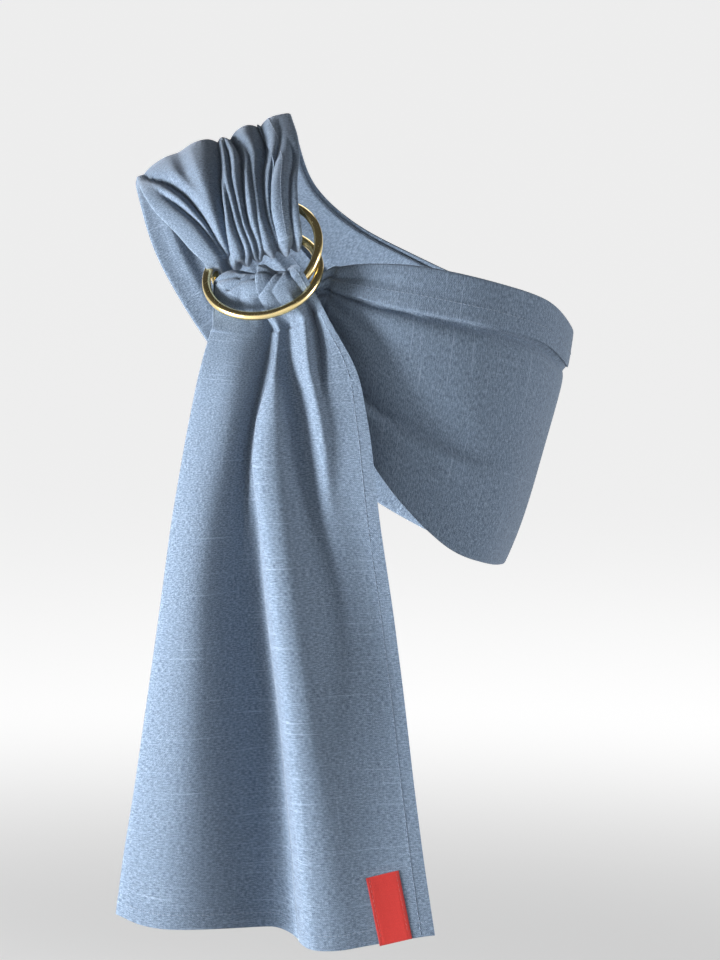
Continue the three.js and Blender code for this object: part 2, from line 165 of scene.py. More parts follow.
def crease(v, at, depth, steep, soft=False):
    """How deep a fold line presses in at shares v. steep is its half width, or one for each side."""
    low, high = steep if isinstance(steep, tuple) else (steep, steep)
    t = np.where(v < at, (at - v) / low, (v - at) / high)
    return depth * (np.exp(-t * t) if soft else np.exp(-(t**1.15)))


def pressed(creases):
    """Several creases together, without adding up where they meet."""
    return -(np.sum(np.asarray(creases) ** 3, axis=0) ** (1 / 3))


# ------------------------ key rows of the cloth
SHARES = np.linspace(0, 1, 401)


def tail_folds(main, width, taken_up=1.06):
    """Where the tail's layers turn: two panels show in front, and the hidden layers take the rest."""
    shown = main + (main - 0.05) + 0.95
    swing = np.clip((CLOTH_WIDTH / (width * taken_up) - shown - 0.5) / 3.5, 0.12, 0.94)
    low, high = 0.5 - swing / 2, 0.5 + swing / 2
    return np.array([0, main, 0.05, 1.0, low, high, low, high])


def loop_folds(band, width, taken_up):
    """Where the loop's layers turn: the outer panel and the top band show, the rest lies under them."""
    swing = np.clip((CLOTH_WIDTH / (width * taken_up) - (1 + band) - 0.98 - 0.48) / 3.5, 0.12, 0.94)
    low, high = 0.5 - swing / 2, 0.5 + swing / 2
    return np.array([low, high, low, high, 0.02, 0.99, 0, band])


def folds_in_cloth(folds):
    """The same turns as distances across the flat cloth."""
    runs = np.abs(np.diff(folds))
    return np.concatenate([[0], np.cumsum(runs)]) / runs.sum() * CLOTH_WIDTH


class KeyRow:
    """One row across the cloth: base points and layer normals at SHARES, and how the layers lie."""

    def __init__(self, base, normal, offsets, folds, round_, relief, folds_u, fullness=1.0):
        self.base, self.normal = base, unit(normal)
        self.offsets, self.folds, self.round = offsets, folds, round_
        self.relief, self.folds_u = relief, folds_u
        self.fullness = fullness * np.ones(len(SHARES))


def tail_z(row_z, v):
    """The height of a tail row at each share, level in the middle and following the ring and the hem."""
    ring_rise = np.interp(v, [0, 0.15, 0.4, 0.7, 1], [22, 14, 4, 0, 5])
    hem_drop = eased(v, TAIL_END["share"], TAIL_END["z"], 0.035) + 560
    top = 1 - smooth(-row_z, 112, 190)
    low = smooth(-row_z, 440, 560)
    return row_z + ring_rise * top + hem_drop * low


def tail_relief(z, v):
    """The tail's folds, towards the front: a round fold on the left and pleats that run out of the ring."""
    def at(heights, values):
        return eased(-z, [-height for height in heights], values, 12)
    main = at(MAIN_FOLD_Z, MAIN_FOLD)
    roll_at = at([-112, -200, -300, -570], [0.78, 0.80, 0.84, 0.85])
    roll = at([-112, -150, -260, -420, -570], [1, 8, 15, 15, 12]) * np.exp(-(((v - roll_at) / 0.18) ** 2))
    lift = at([-112, -180, -300, -570], [0, 4, 10, 8]) * np.exp(-(((v - main + 0.09) / 0.12) ** 2))
    lift = lift - at([-112, -200, -360, -570], [0, 4, 20, 9]) * smooth(main - v, 0.10, 0.50)
    ridge_at = at([-105, -116, -145, -166, -212, -260], [0.2, 0.22, 0.31, 0.28, 0.25, 0.24])
    ridge = at([-105, -130, -200, -260], [3, 5, 5, 0]) * np.exp(-(((v - ridge_at) / 0.035) ** 2))
    creases = [
        crease(v, at([-112, -116, -145, -166, -190, -212, -257, -315, -400],
                     [0.5, 0.5, 0.58, 0.62, 0.65, 0.66, 0.65, 0.66, 0.67]),
               at([-105, -150, -212, -257, -330, -450], [7, 12, 16, 14, 7, 2]), (0.04, 0.075)),
        crease(v, main + 0.02, at([-150, -212, -300, -400, -500, -570], [0, 5, 20, 28, 27, 24]),
               (0.035, 0.18), True),
        crease(v, at([-110, -120, -145, -166, -196, -257, -315], [0.36, 0.38, 0.44, 0.41, 0.38, 0.33, 0.27]),
               at([-105, -130, -166, -220, -290, -450], [4, 9, 14, 12, 7, 0]), 0.07, True),
        crease(v, at([-90, -105, -120, -138, -155, -180], [0.1, 0.12, 0.13, 0.2, 0.24, 0.25]),
               at([-90, -105, -130, -150, -176], [8, 11, 11, 7, 0]), 0.035),
    ]
    wave = at([-200, -400, -570], [0, 1.0, 1.6]) * np.sin(v * 9.0 + z * 0.008)
    return roll + lift + ridge + pressed(creases) + wave


TAIL_FOLDS_U = folds_in_cloth(tail_folds(0.43, 234))
LOOP_FOLDS_U = folds_in_cloth(loop_folds(0.17, 176, 1.02))


def tail_rows():
    """From the hem up to just under the rings, closer together in the upper part."""
    rows = []
    for z in np.concatenate([np.linspace(-560, -220, 44), np.linspace(-212, -122, 19)]):
        height = tail_z(z, SHARES)
        right = eased(-height, [-a for a in TAIL_Z], TAIL_RIGHT, 14)
        left = eased(-height, [-a for a in TAIL_Z], TAIL_LEFT, 14)
        x = right + (left - right) * SHARES
        slope = (TAIL_DEPTH["bottom"] - TAIL_DEPTH["top"]) / (TAIL_DEPTH["bottom_z"] - TAIL_DEPTH["top_z"])
        near_ring = 1 - smooth(-z, 112, 165)
        y = TAIL_DEPTH["top"] + slope * (height - TAIL_DEPTH["top_z"]) + 3.5 * near_ring
        base = np.stack([x, y, height], axis=1)
        normal = np.tile([0.0, -1.0, 0.0], (len(SHARES), 1))
        open_ = smooth(-z, 116, 250)
        tight = np.array([6.0, 4, 2, 0, -2, -4, -6]) * (1 - 0.35 * near_ring)
        loose = np.array([9.5, 6.5, 3.0, -3.5, -6, -8.5, -11])
        main = np.interp(-z, [-a for a in MAIN_FOLD_Z], MAIN_FOLD)
        folds = tail_folds(main, x[0] - x[-1])
        round_ = np.array([3 + 3 * open_, 3, 5 + 9 * open_, 3, 3, 3])
        relief = tail_relief(height, SHARES)
        offsets = tight + (loose - tight) * open_
        rows.append(KeyRow(base, normal, offsets, folds, round_, relief, TAIL_FOLDS_U))
    return rows


def ring_frame(ring):
    """The ring's centre, unit normal, the direction down in its plane, and across to the right."""
    centre, normal = np.array(ring["centre"]), unit(ring["normal"])
    down = unit(np.array([0, 0, -1.0]) + normal * normal[2])
    return centre, normal, down, np.cross(normal, down)


BIGHT_STEP = 2.5
BIGHT_TURNS = [-35, -10, 20, 50, 80, 110, 140, 170, 200]
BIGHT_OUTER = [11.0, 12.5, 19, 26, 31, 29, 23, 18, 14]
BIGHT_INNER = [4.6, 4.6, 4.8, 5.0, 5.2, 5.2, 5.0, 4.8, 4.6]
BIGHT_RIGHT = [64, 66, 67, 66, 62, 56, 54, 56, 60]
BIGHT_LEFT = [-50, -46, -44, -44, -43, -40, -36, -32, -30]
BIGHT_ROUND = np.array([3.0, 3, 5, 3, 3, 3])
BIGHT_DOME = dict(share=[0, 0.1, 0.2, 0.32, 0.5, 0.7, 0.85, 1.0],
                  fullness=[0.30, 0.36, 0.55, 0.85, 1.0, 1.0, 0.92, 0.78])
# Creases over the fold: lines of (turn round the wire in degrees, share across), depth and half width in mm.
BIGHT_CREASES = [
    ([(-8, 0.98), (15, 0.96), (28, 0.93), (44, 0.84), (47, 0.74)], 3.2, 2.2),
    ([(8, 0.79), (26, 0.745), (40, 0.69), (49, 0.585), (46, 0.4), (42, 0.27)], 3.8, 2.1),
    ([(62, 0.19), (42, 0.24), (22, 0.33), (-8, 0.49)], 5.5, 2.0),
    ([(66, 0.82), (72, 0.6), (70, 0.4), (60, 0.24)], 3.0, 2.2),
    ([(12, 0.64), (-10, 0.66)], 3.0, 3.5),
    ([(44, 0.2), (30, 0.17), (12, 0.24), (-5, 0.33)], 2.6, 1.8),
    ([(88, 0.11), (60, 0.10), (40, 0.09), (10, 0.12), (-8, 0.12)], 5.0, 1.4),
    ([(100, 0.45), (180, 0.4)], 4.0, 3.0),
    ([(100, 0.7), (180, 0.75)], 4.0, 3.0),
    ([(100, 0.2), (180, 0.2)], 4.0, 2.5),
]
BIGHT_MM_PER_TURN = 0.42
BIGHT_MM_ACROSS = 74.0


def path_crease(turn, v, path, depth, half_width):
    """How deep a crease along a path presses in, by the distance of each share of one row from the path."""
    place = np.stack([np.full(len(v), turn * BIGHT_MM_PER_TURN), v * BIGHT_MM_ACROSS], axis=1)
    corners = np.array(path) * [BIGHT_MM_PER_TURN, BIGHT_MM_ACROSS]
    nearest = np.full(len(v), np.inf)
    for a, b in zip(corners[:-1], corners[1:]):
        along = np.clip((place - a) @ (b - a) / ((b - a) @ (b - a)), 0, 1)[:, None]
        nearest = np.minimum(nearest, np.linalg.norm(place - a - along * (b - a), axis=1))
    return depth * np.exp(-((nearest / half_width) ** 1.3))


def bight_rows():
    """Round the rear ring's lower arc, from its front over its top to its back."""
    centre, normal, down, side = ring_frame(REAR_RING)
    dome = eased(SHARES, BIGHT_DOME["share"], BIGHT_DOME["fullness"], 0.05)
    rows = []
    for turn in np.arange(-5, 171, BIGHT_STEP):
        def at(values):
            return eased(turn, BIGHT_TURNS, values, 10)
        arc = np.radians(at(BIGHT_RIGHT) + (at(BIGHT_LEFT) - at(BIGHT_RIGHT)) * SHARES)[:, None]
        radial = down * np.cos(arc) + side * np.sin(arc)
        wire = centre + radial * RING_RADIUS
        away = -radial * math.sin(math.radians(turn)) + normal * math.cos(math.radians(turn))
        outer, inner = at(BIGHT_OUTER), at(BIGHT_INNER)
        offsets = inner + (outer - inner) * np.linspace(1, 0, LAYERS)
        middle = offsets.mean()
        fullness = 1 - (1 - dome) * np.interp(turn, [-30, 40, 110, 180], [0.2, 1, 1, 0.4])
        folds = tail_folds(0.46, np.ptp(arc) * RING_RADIUS)
        relief = pressed([path_crease(turn, SHARES, *line) for line in BIGHT_CREASES]) + 1.2
        relief = relief * fullness - (middle - inner) * (1 - fullness)
        rows.append(KeyRow(wire + away * middle, away, offsets - middle, folds, BIGHT_ROUND, relief,
                           TAIL_FOLDS_U, fullness))
    return rows


ROW_STEP = 0.25
RAIL_STEP = 0.02


def band_row(upper_keys, lower_keys, bulges, place, way):
    """Base points, inward normals and width of a row between rails; way is -1 for keys that run backwards."""
    last = len(upper_keys) - 1
    spots = np.clip([place - RAIL_STEP, place + RAIL_STEP], 0, last)
    uppers, lowers = along_keys(upper_keys, spots), along_keys(lower_keys, spots)
    along = way * unit(uppers[1] - uppers[0] + lowers[1] - lowers[0])
    upper, lower = along_keys(upper_keys, [place])[0], along_keys(lower_keys, [place])[0]
    bulge = np.interp(place, range(last + 1), bulges)
    across = lower - upper
    outward = unit(np.cross(along, across))
    v = SHARES[:, None]
    base = upper + across * v + outward * bulge * 4 * v * (1 - v)
    slope = across + outward * bulge * 4 * (1 - 2 * v)
    normal = -unit(np.cross(np.broadcast_to(along, slope.shape), slope))
    return base, normal, np.linalg.norm(across)


BAND_EDGE = [0.20, 0.20, 0.18, 0.17, 0.16, 0.15, 0.15, 0.15, 0.15, 0.155, 0.19, 0.22, 0.24]


def loop_relief(station, v):
    """Folds pressed into the loop's outer side; positive is outwards."""
    def at(stations, values):
        return eased(station, stations, values, 0.35)
    band = at(range(len(BAND_EDGE)), BAND_EDGE)
    creases = [
        crease(v, at([0, 1, 2, 4], [0.18, 0.19, 0.22, 0.25]), at([0, 1, 2, 3.5], [5, 5, 4, 0]), 0.04),
        crease(v, at([0, 1, 2, 5], [0.38, 0.40, 0.42, 0.45]), at([0, 1, 2, 4, 6], [6, 6, 5, 3, 0]), 0.05),
        crease(v, at([0, 1, 2, 4], [0.455, 0.5, 0.56, 0.6]), at([0, 1, 2, 3], [5, 5, 4, 0]), 0.04),
        crease(v, at([0, 1, 2, 5], [0.7, 0.7, 0.72, 0.75]), at([0, 1, 2, 4, 6], [1, 4, 4, 3, 0]), 0.06, True),
        crease(v, at([0, 1, 2, 4], [0.95, 0.88, 0.86, 0.9]), at([0, 1, 2, 4], [2, 4, 4, 0]), 0.05),
        crease(v, at([8.5, 9.6, 11, 12], [0.62, 0.66, 0.79, 0.72]),
               at([8.3, 9.2, 10.4, 11.4, 12], [0, 5, 8, 6, 4]), (0.12, 0.02)),
        crease(v, band + 0.014, at([6.5, 7.5, 8.5, 10, 12], [0, 3.4, 4.6, 5.2, 5]), (0.006, 0.022)),
        crease(v, at([10, 11, 12], [0.10, 0.09, 0.12]), at([10, 11, 11.6, 12], [0, 1.5, 3, 3]), 0.04),
        crease(v, at([10, 11, 12], [0.4, 0.38, 0.3]), at([10, 11, 12], [0, 2, 4]), 0.06, True),
        crease(v, at([10, 11, 12], [0.6, 0.56, 0.5]), at([10.5, 11.3, 12], [0, 2, 4]), 0.05),
        crease(v, at([10, 11, 12], [0.85, 0.88, 0.8]), at([10.5, 11.3, 12], [0, 1, 4]), 0.05),
    ]
    wave = at([0, 2, 5, 12], [0, 0.8, 1.6, 0.8]) * np.sin(v * 6.5 + station * 1.1)
    return 1.4 * pressed(creases) + wave


def loop_rows():
    """From the throat back round the wearer to the top of the shoulder."""
    last = len(LOOP_UPPER) - 1
    rows = []
    for station in np.arange(last, -0.01, -ROW_STEP):
        base, normal, width = band_row(LOOP_UPPER, LOOP_LOWER, LOOP_BULGE, station, 1)
        spacing = np.interp(station, range(last + 1), LOOP_SPACING)
        band = np.interp(station, range(last + 1), BAND_EDGE)
        taken_up = np.interp(station, [0, 2, 5, 11, 12], [1.35, 1.25, 1.05, 1.05, 1.3])
        folds = loop_folds(band, width, taken_up)
        relief = -loop_relief(station, SHARES)
        rows.append(KeyRow(base, normal, spacing * LOOP_LAYERS, folds, LOOP_ROUND, relief, LOOP_FOLDS_U))
    return rows


def front_relief(q, v):
    """Folds of the shoulder's front: q is 5 at the casing's lower edge and 0 on top of the shoulder."""
    levels = [0, 1, 2, 3.6, 5, 6]
    def at(values):
        return eased(q, levels, values, 0.45)
    creases = [
        crease(v, at([0.07, 0.06, 0.03, 0.06, 0.08, 0.08]), at([0, 0, 2, 3, 3, 2]), 0.02),
        crease(v, at([0.07, 0.10, 0.15, 0.22, 0.235, 0.23]), at([0, 2, 3.5, 4, 4, 2]), (0.02, 0.03)),
        crease(v, at([0.18, 0.19, 0.23, 0.265, 0.27, 0.26]), at([5, 7, 7, 6, 5, 3]), (0.03, 0.045)),
        crease(v, at([0.36, 0.30, 0.31, 0.34, 0.40, 0.40]), at([3, 3.5, 4, 3, 3, 2]), 0.03),
        crease(v, at([0.385, 0.35, 0.375, 0.44, 0.46, 0.46]), at([6, 7, 7, 7, 6, 4]), (0.03, 0.02)),
        crease(v, at([0.42, 0.425, 0.45, 0.49, 0.52, 0.52]), at([3, 5, 5, 4, 4, 3]), 0.022),
        crease(v, at([0.45, 0.46, 0.50, 0.55, 0.59, 0.6]), at([0, 1, 4, 5, 5, 3]), 0.022),
        crease(v, at([0.455, 0.48, 0.525, 0.63, 0.74, 0.76]), at([5, 7, 8, 8, 7, 4]), (0.02, 0.05)),
        crease(v, at([0.97, 0.83, 0.77, 0.765, 0.78, 0.79]), at([2, 6, 8, 8, 7, 4]), (0.05, 0.03)),
        crease(v, at([0.98, 0.92, 0.855, 0.80, 0.81, 0.82]), at([0, 0, 6, 6, 4, 3]), (0.02, 0.03)),
        crease(v, at([0.70, 0.71, 0.69, 0.7, 0.7, 0.7]), at([1, 3.5, 2.5, 0, 0, 0]), 0.05, True),
    ]
    swell = at([0, 1.5, 2, 1, 0, 0]) * np.sin(np.pi * np.clip((v - 0.5) / 0.32, 0, 1))
    under = 1 - 0.8 * smooth(q, 5.6, 7)
    gather = 2.3 * smooth(q, 5.2, 6.6) * np.sin(2 * np.pi * 7.3 * v + 0.6 * np.sin(9 * v))
    return (1.3 * pressed(creases) + swell) * under + gather


def front_rows():
    """From the shoulder's top over its front, round under the casing and back up as the sewn flap."""
    last = len(FRONT_UPPER) - 1
    rows = []
    for q in np.arange(ROW_STEP, last + 0.01, ROW_STEP):
        base, normal, width = band_row(FRONT_UPPER, FRONT_LOWER, FRONT_BULGE, q, -1)
        spacing = np.interp(q, range(last + 1), FRONT_SPACING)
        edge = np.interp(q, [0, 2, 5, last], [0.20, 0.16, 0.235, 0.2])
        taken_up = np.interp(q, [0, 5, 7, last], [1.35, 1.35, 1.1, 1.05])
        folds = loop_folds(edge, width, taken_up)
        relief = -front_relief(q, SHARES)
        rows.append(KeyRow(base, normal, spacing * LOOP_LAYERS, folds, LOOP_ROUND, relief, LOOP_FOLDS_U))
    return rows


# ------------------------ from key rows to one fine grid
def layer_shares(layer):
    """Column places along a layer, closer together near its folds; the next layer starts at the last one."""
    columns = LAYER_COLUMNS[layer]
    t = np.arange(columns + 1) / columns
    t = t - 0.6 * np.sin(2 * np.pi * t) / (2 * np.pi)
    return t if layer == LAYERS - 1 else t[:-1]


def row_columns(width, folds, offsets, round_):
    """Share across and offset of every column, for arrays of rows."""
    shares, heights = [], []
    for k in range(LAYERS):
        t = layer_shares(k)
        start, end = folds[:, k:k + 1], folds[:, k + 1:k + 2]
        run = np.abs(end - start) * width
        level = offsets[:, k:k + 1]
        height = np.repeat(level, len(t), axis=1)
        if k > 0:
            near = np.clip(run * t / round_[:, k - 1:k], 0, 1)
            height = height + (offsets[:, k - 1:k] - level) / 2 * (1 - np.sqrt(1 - (1 - near) ** 2))
        if k < LAYERS - 1:
            near = np.clip(run * (1 - t) / round_[:, k:k + 1], 0, 1)
            height = height + (offsets[:, k + 1:k + 2] - level) / 2 * (1 - np.sqrt(1 - (1 - near) ** 2))
        shares.append(start + (end - start) * t)
        heights.append(height)
    return np.concatenate(shares, axis=1), np.concatenate(heights, axis=1)


def column_u(folds_u):
    """How far across the flat cloth every column lies."""
    parts = []
    for k in range(LAYERS):
        t = layer_shares(k)
        parts.append(folds_u[:, k:k + 1] + (folds_u[:, k + 1:k + 2] - folds_u[:, k:k + 1]) * t)
    return np.concatenate(parts, axis=1)


def sample(values, shares):
    """values [R, S, ...] at SHARES, read at shares [R, C]."""
    place = shares * (len(SHARES) - 1)
    i = np.clip(place.astype(int), 0, len(SHARES) - 2)
    t = place - i
    r = np.arange(len(values))[:, None]
    a, b = values[r, i], values[r, i + 1]
    if values.ndim == 3:
        t = t[..., None]
    return a * (1 - t) + b * t


key_rows = tail_rows() + bight_rows() + loop_rows() + front_rows()
bases = np.array([row.base for row in key_rows])
steps = np.linalg.norm(np.diff(bases[:, ::40], axis=0), axis=2).mean(axis=1)
run_at_key = np.concatenate([[0], np.cumsum(steps)])


def dense_rows(first, last, spacing):
    """The fine grid between two key rows: points [R, C, 3], unit thickness normals, cloth u and v in mm."""
    count = max(2, int(round((run_at_key[last] - run_at_key[first]) / spacing)) + 1)
    run = np.linspace(run_at_key[first], run_at_key[last], count)
    lead = 2
    step = run[1] - run[0]
    before, after = step * np.arange(lead, 0, -1), step * np.arange(1, lead + 1)
    run = np.concatenate([run[0] - before, run, run[-1] + after])
    place = np.interp(run, run_at_key, np.arange(len(key_rows)))
    base = along_keys(bases, place)
    normal = unit(along_keys([row.normal for row in key_rows], place))
    relief = along_keys([row.relief for row in key_rows], place)
    offsets = between_keys([row.offsets for row in key_rows], place)
    folds = between_keys([row.folds for row in key_rows], place)
    round_ = between_keys([row.round for row in key_rows], place)
    folds_u = between_keys([row.folds_u for row in key_rows], place)
    width = np.linalg.norm(np.diff(base[:, ::20], axis=1), axis=2).sum(axis=1)[:, None]
    shares, height = row_columns(width, folds, offsets, round_)
    shares = np.clip(shares, 0, 1)
    fullness = along_keys([row.fullness for row in key_rows], place)
    height = height * sample(fullness, shares) + sample(relief, shares)
    points = sample(base, shares) + unit(sample(normal, shares)) * height[..., None]
    grid_normal = unit(np.cross(np.gradient(points, axis=0), np.gradient(points, axis=1)))
    keep = slice(lead, len(run) - lead)
    return points[keep], grid_normal[keep], column_u(folds_u)[keep], run[keep]


def cloth_thickness(u, run):
    """The cloth's thickness, double along the hems at both rails and across the tail's end."""
    hem = np.maximum(1 - smooth(u, HEM_WIDTH - 0.6, HEM_WIDTH + 0.6),
                     smooth(u, CLOTH_WIDTH - HEM_WIDTH - 0.6, CLOTH_WIDTH - HEM_WIDTH + 0.6))
    end = 1 - smooth(run, HEM_WIDTH - 0.8, HEM_WIDTH + 0.8)[:, None]
    return CLOTH_THICK + np.maximum(RAIL_HEM_EXTRA * hem, HEM_EXTRA * end)


def new_mesh(name, points, faces, uvs):
    """A smooth mesh object from points [N, 3] in mm, quads [F, 4] and a (u, v) in metres for each point."""
    mesh = bpy.data.meshes.new(name)
    mesh.vertices.add(len(points))
    mesh.vertices.foreach_set("co", (np.asarray(points) * MM).astype(np.float32).ravel())
    mesh.loops.add(faces.size)
    mesh.loops.foreach_set("vertex_index", faces.astype(np.int32).ravel())
    mesh.polygons.add(len(faces))
    mesh.polygons.foreach_set("loop_start", np.arange(0, faces.size, faces.shape[1], dtype=np.int32))
    mesh.update(calc_edges=True)
    mesh.validate()
    layer = mesh.uv_layers.new(name="Cloth")
    layer.data.foreach_set("uv", np.asarray(uvs, np.float32)[faces.ravel()].ravel())
    mesh.polygons.foreach_set("use_smooth", np.ones(len(mesh.polygons), bool))
    return linked(name, mesh)


def grid_faces(rows, columns, start=0, flip=False):
    """The quads of one grid of points, whose first point is number start."""
    a = start + (np.arange(rows - 1)[:, None] * columns + np.arange(columns - 1)[None]).ravel()
    quads = np.stack([a, a + 1, a + columns + 1, a + columns], axis=1)
    return quads[:, ::-1] if flip else quads


def rim_faces(rows, columns, offset):
    """Quads that close the edge between two grids, the second starting at offset."""
    loop = np.concatenate([np.arange(columns), np.arange(1, rows) * columns + columns - 1,
                           (rows - 1) * columns + np.arange(columns - 2, -1, -1),
                           np.arange(rows - 2, 0, -1) * columns])
    after = np.roll(loop, -1)
    return np.stack([after, loop, loop + offset, after + offset], axis=1)


def sharpen_rim(mesh, rows, columns):
    """Keeps the sheet's faces from being shaded round its cut edges, so that stretches join unseen."""
    rim = np.zeros((2, rows, columns), bool)
    rim[:, [0, -1], :] = True
    rim[:, :, [0, -1]] = True
    rim = rim.ravel()
    ends = np.empty(2 * len(mesh.edges), np.int32)
    mesh.edges.foreach_get("vertices", ends)
    a, b = ends[::2], ends[1::2]
    sharp = rim[a] & rim[b] & ((a < rows * columns) == (b < rows * columns))
    mesh.attributes.new("sharp_edge", "BOOLEAN", "EDGE").data.foreach_set("value", sharp)


def cloth_piece(name, first, last, spacing):
    """A stretch of the cloth between two key rows, as a thin closed sheet."""
    points, normal, u, run = dense_rows(first, last, spacing)
    half = 0.5 * cloth_thickness(u, run)[..., None]
    rows, columns = u.shape
    front, rear = points + normal * half, points - normal * half
    uvs = np.stack([u, np.broadcast_to(run[:, None], u.shape)], axis=-1).reshape(-1, 2) * MM
    count = rows * columns
    faces = np.concatenate([grid_faces(rows, columns, flip=True), grid_faces(rows, columns, start=count),
                            rim_faces(rows, columns, count)[:, ::-1]])
    piece = new_mesh(name, np.concatenate([front.reshape(-1, 3), rear.reshape(-1, 3)]), faces,
                     np.concatenate([uvs, uvs]))
    sharpen_rim(piece.data, rows, columns)
    return piece, (points, normal, u, run)


# ------------------------ materials
def feed(tree, made, inputs):
    """Links or sets a node's inputs, each a socket's name or number with another socket or a value."""
    for key, value in inputs.items():
        if isinstance(value, bpy.types.NodeSocket):
            tree.links.new(value, made.inputs[key])
        else:
            made.inputs[key].default_value = value


def node(tree, kind, inputs=None, **settings):
    made = tree.nodes.new(kind)
    for key, value in settings.items():
        setattr(made, key, value)
    feed(tree, made, inputs or {})
    return made


def math_node(tree, operation, a, b=0.0):
    return node(tree, "ShaderNodeMath", {0: a, 1: b}, operation=operation).outputs[0]


def times(tree, a, b):
    return math_node(tree, "MULTIPLY", a, b)


def plus(tree, a, b):
    return math_node(tree, "ADD", a, b)


def mapped(tree, value, low, high, to_low=0.0, to_high=1.0, **settings):
    inputs = {0: value, 1: low, 2: high, 3: to_low, 4: to_high}
    return node(tree, "ShaderNodeMapRange", inputs, **settings).outputs[0]


def mix_colour(tree, factor, a, b):
    inputs = {0: factor, 6: a, 7: b}
    return node(tree, "ShaderNodeMix", inputs, data_type="RGBA", blend_type="MIX").outputs[2]


def noise(tree, place, scale, detail, roughness=0.5, **settings):
    inputs = {"Vector": place, "Scale": scale, "Detail": detail, "Roughness": roughness}
    return node(tree, "ShaderNodeTexNoise", inputs, **settings).outputs[0]


def bumps(tree, height, distance, strength):
    inputs = {"Height": height, "Distance": distance, "Strength": strength}
    return node(tree, "ShaderNodeBump", inputs).outputs[0]


def new_material(name):
    material = bpy.data.materials.new(name)
    material.use_nodes = True
    return material, material.node_tree, material.node_tree.nodes["Principled BSDF"]


THREAD_PITCH = 0.00085
LINEN_DARK = (0.040, 0.062, 0.098, 1)
LINEN_MID = (0.112, 0.156, 0.222, 1)
LINEN_PALE = (0.250, 0.322, 0.415, 1)
GOLD_DEEP = (0.80, 0.62, 0.27, 1)
GOLD_LIGHT = (0.92, 0.77, 0.42, 1)


def linen():
    """Chambray linen: dark warp and pale slubby weft in a plain weave."""
    material, tree, shader = new_material("linen")
    uv = node(tree, "ShaderNodeUVMap", uv_map="Cloth").outputs[0]
    parts = node(tree, "ShaderNodeSeparateXYZ", {0: uv})
    across, along = parts.outputs[0], parts.outputs[1]

    def streaks(scale_u, scale_v, detail=2.0):
        scaled = {0: times(tree, across, scale_u), 1: times(tree, along, scale_v)}
        place = node(tree, "ShaderNodeCombineXYZ", scaled).outputs[0]
        return noise(tree, place, 1.0, detail, 0.6, noise_dimensions="2D")

    weft = streaks(300, 1300)
    warp = streaks(1300, 300)
    slub = mapped(tree, streaks(14, 520, 1.0), 0.65, 0.84)
    warp_slub = mapped(tree, streaks(420, 7, 1.0), 0.68, 0.84)
    mottle = streaks(55, 55, 4.0)
    turn = math.pi / THREAD_PITCH
    wave_u = math_node(tree, "SINE", times(tree, across, turn))
    wave_v = math_node(tree, "SINE", times(tree, along, turn))
    over = times(tree, wave_u, wave_v)
    weave = node(tree, "ShaderNodeMath", {0: over, 1: 0.5, 2: 0.5}, operation="MULTIPLY_ADD").outputs[0]

    threads = mix_colour(tree, mapped(tree, weft, 0.36, 0.66), LINEN_DARK, LINEN_PALE)
    warps = mix_colour(tree, mapped(tree, warp, 0.40, 0.62), LINEN_DARK, LINEN_MID)
    colour = mix_colour(tree, 0.52, threads, warps)
    for share, amount, tint in ((slub, 0.48, LINEN_PALE), (warp_slub, 0.22, LINEN_PALE),
                                (mapped(tree, mottle, 0.35, 0.75), 0.25, LINEN_MID),
                                (mapped(tree, weave, 0.0, 1.0), 0.16, LINEN_PALE)):
        colour = mix_colour(tree, times(tree, share, amount), colour, tint)
    height = plus(tree, times(tree, weave, 0.45), plus(tree, times(tree, weft, 0.6), times(tree, warp, 0.5)))
    height = plus(tree, height, times(tree, slub, 0.35))
    feed(tree, shader, {
        "Base Color": colour,
        "Normal": bumps(tree, height, 0.0004, 0.75),
        "Roughness": plus(tree, times(tree, mapped(tree, mottle, 0.2, 0.8), 0.08), 0.84),
        "Sheen Weight": 0.35,
        "Sheen Roughness": 0.45,
        "Sheen Tint": (0.75, 0.84, 1.0, 1),
        "Specular IOR Level": 0.25,
    })
    return material


def gold_aluminium():
    """Gold anodised aluminium with fine wear."""
    material, tree, shader = new_material("gold_aluminium")
    place = node(tree, "ShaderNodeTexCoord").outputs["Object"]
    scratch = noise(tree, place, 700.0, 2.0, 0.6)
    cloud = noise(tree, place, 60.0, 2.0)
    feed(tree, shader, {
        "Base Color": mix_colour(tree, cloud, GOLD_DEEP, GOLD_LIGHT),
        "Roughness": mapped(tree, scratch, 0.3, 0.75, 0.18, 0.28),
        "Normal": bumps(tree, scratch, 0.00002, 0.1),
        "Metallic": 1.0,
    })
    return material


LINEN = linen()
GOLD = gold_aluminium()


# ------------------------ the cloth
# Where one stretch ends and the next begins: heights of the tail in mm, a turn round the rear ring's wire
# in degrees, stations of the loop, and how far down the shoulder's front.
FOLD_HEIGHT = -272
SWING_HEIGHT = -163
OVER_TURN = 110
CHEST_END = 7.75
SIDE_END = 4.0
BACK_END = 1.5
LOWER_EDGE = 5.5
TAIL_SPACING = 2.6
tail_count, bight_count, loop_count = len(tail_rows()), len(bight_rows()), len(loop_rows())
heights = bases[:tail_count, len(SHARES) // 2, 2]
first_loop = tail_count + bight_count
first_front = first_loop + loop_count


def loop_key(station):
    """The key row at a station of the loop, whose rows run back from its last station."""
    return first_loop + int((len(LOOP_UPPER) - 1 - station) / ROW_STEP)


key_fold = int(np.argmin(abs(heights - FOLD_HEIGHT)))
key_swing = int(np.argmin(abs(heights - SWING_HEIGHT)))
key_over = tail_count + int(OVER_TURN / BIGHT_STEP)
key_chest, key_side, key_shoulder = loop_key(CHEST_END), loop_key(SIDE_END), loop_key(BACK_END)
key_lower_edge = first_front + int(LOWER_EDGE / ROW_STEP) - 1
last_key = len(key_rows) - 1

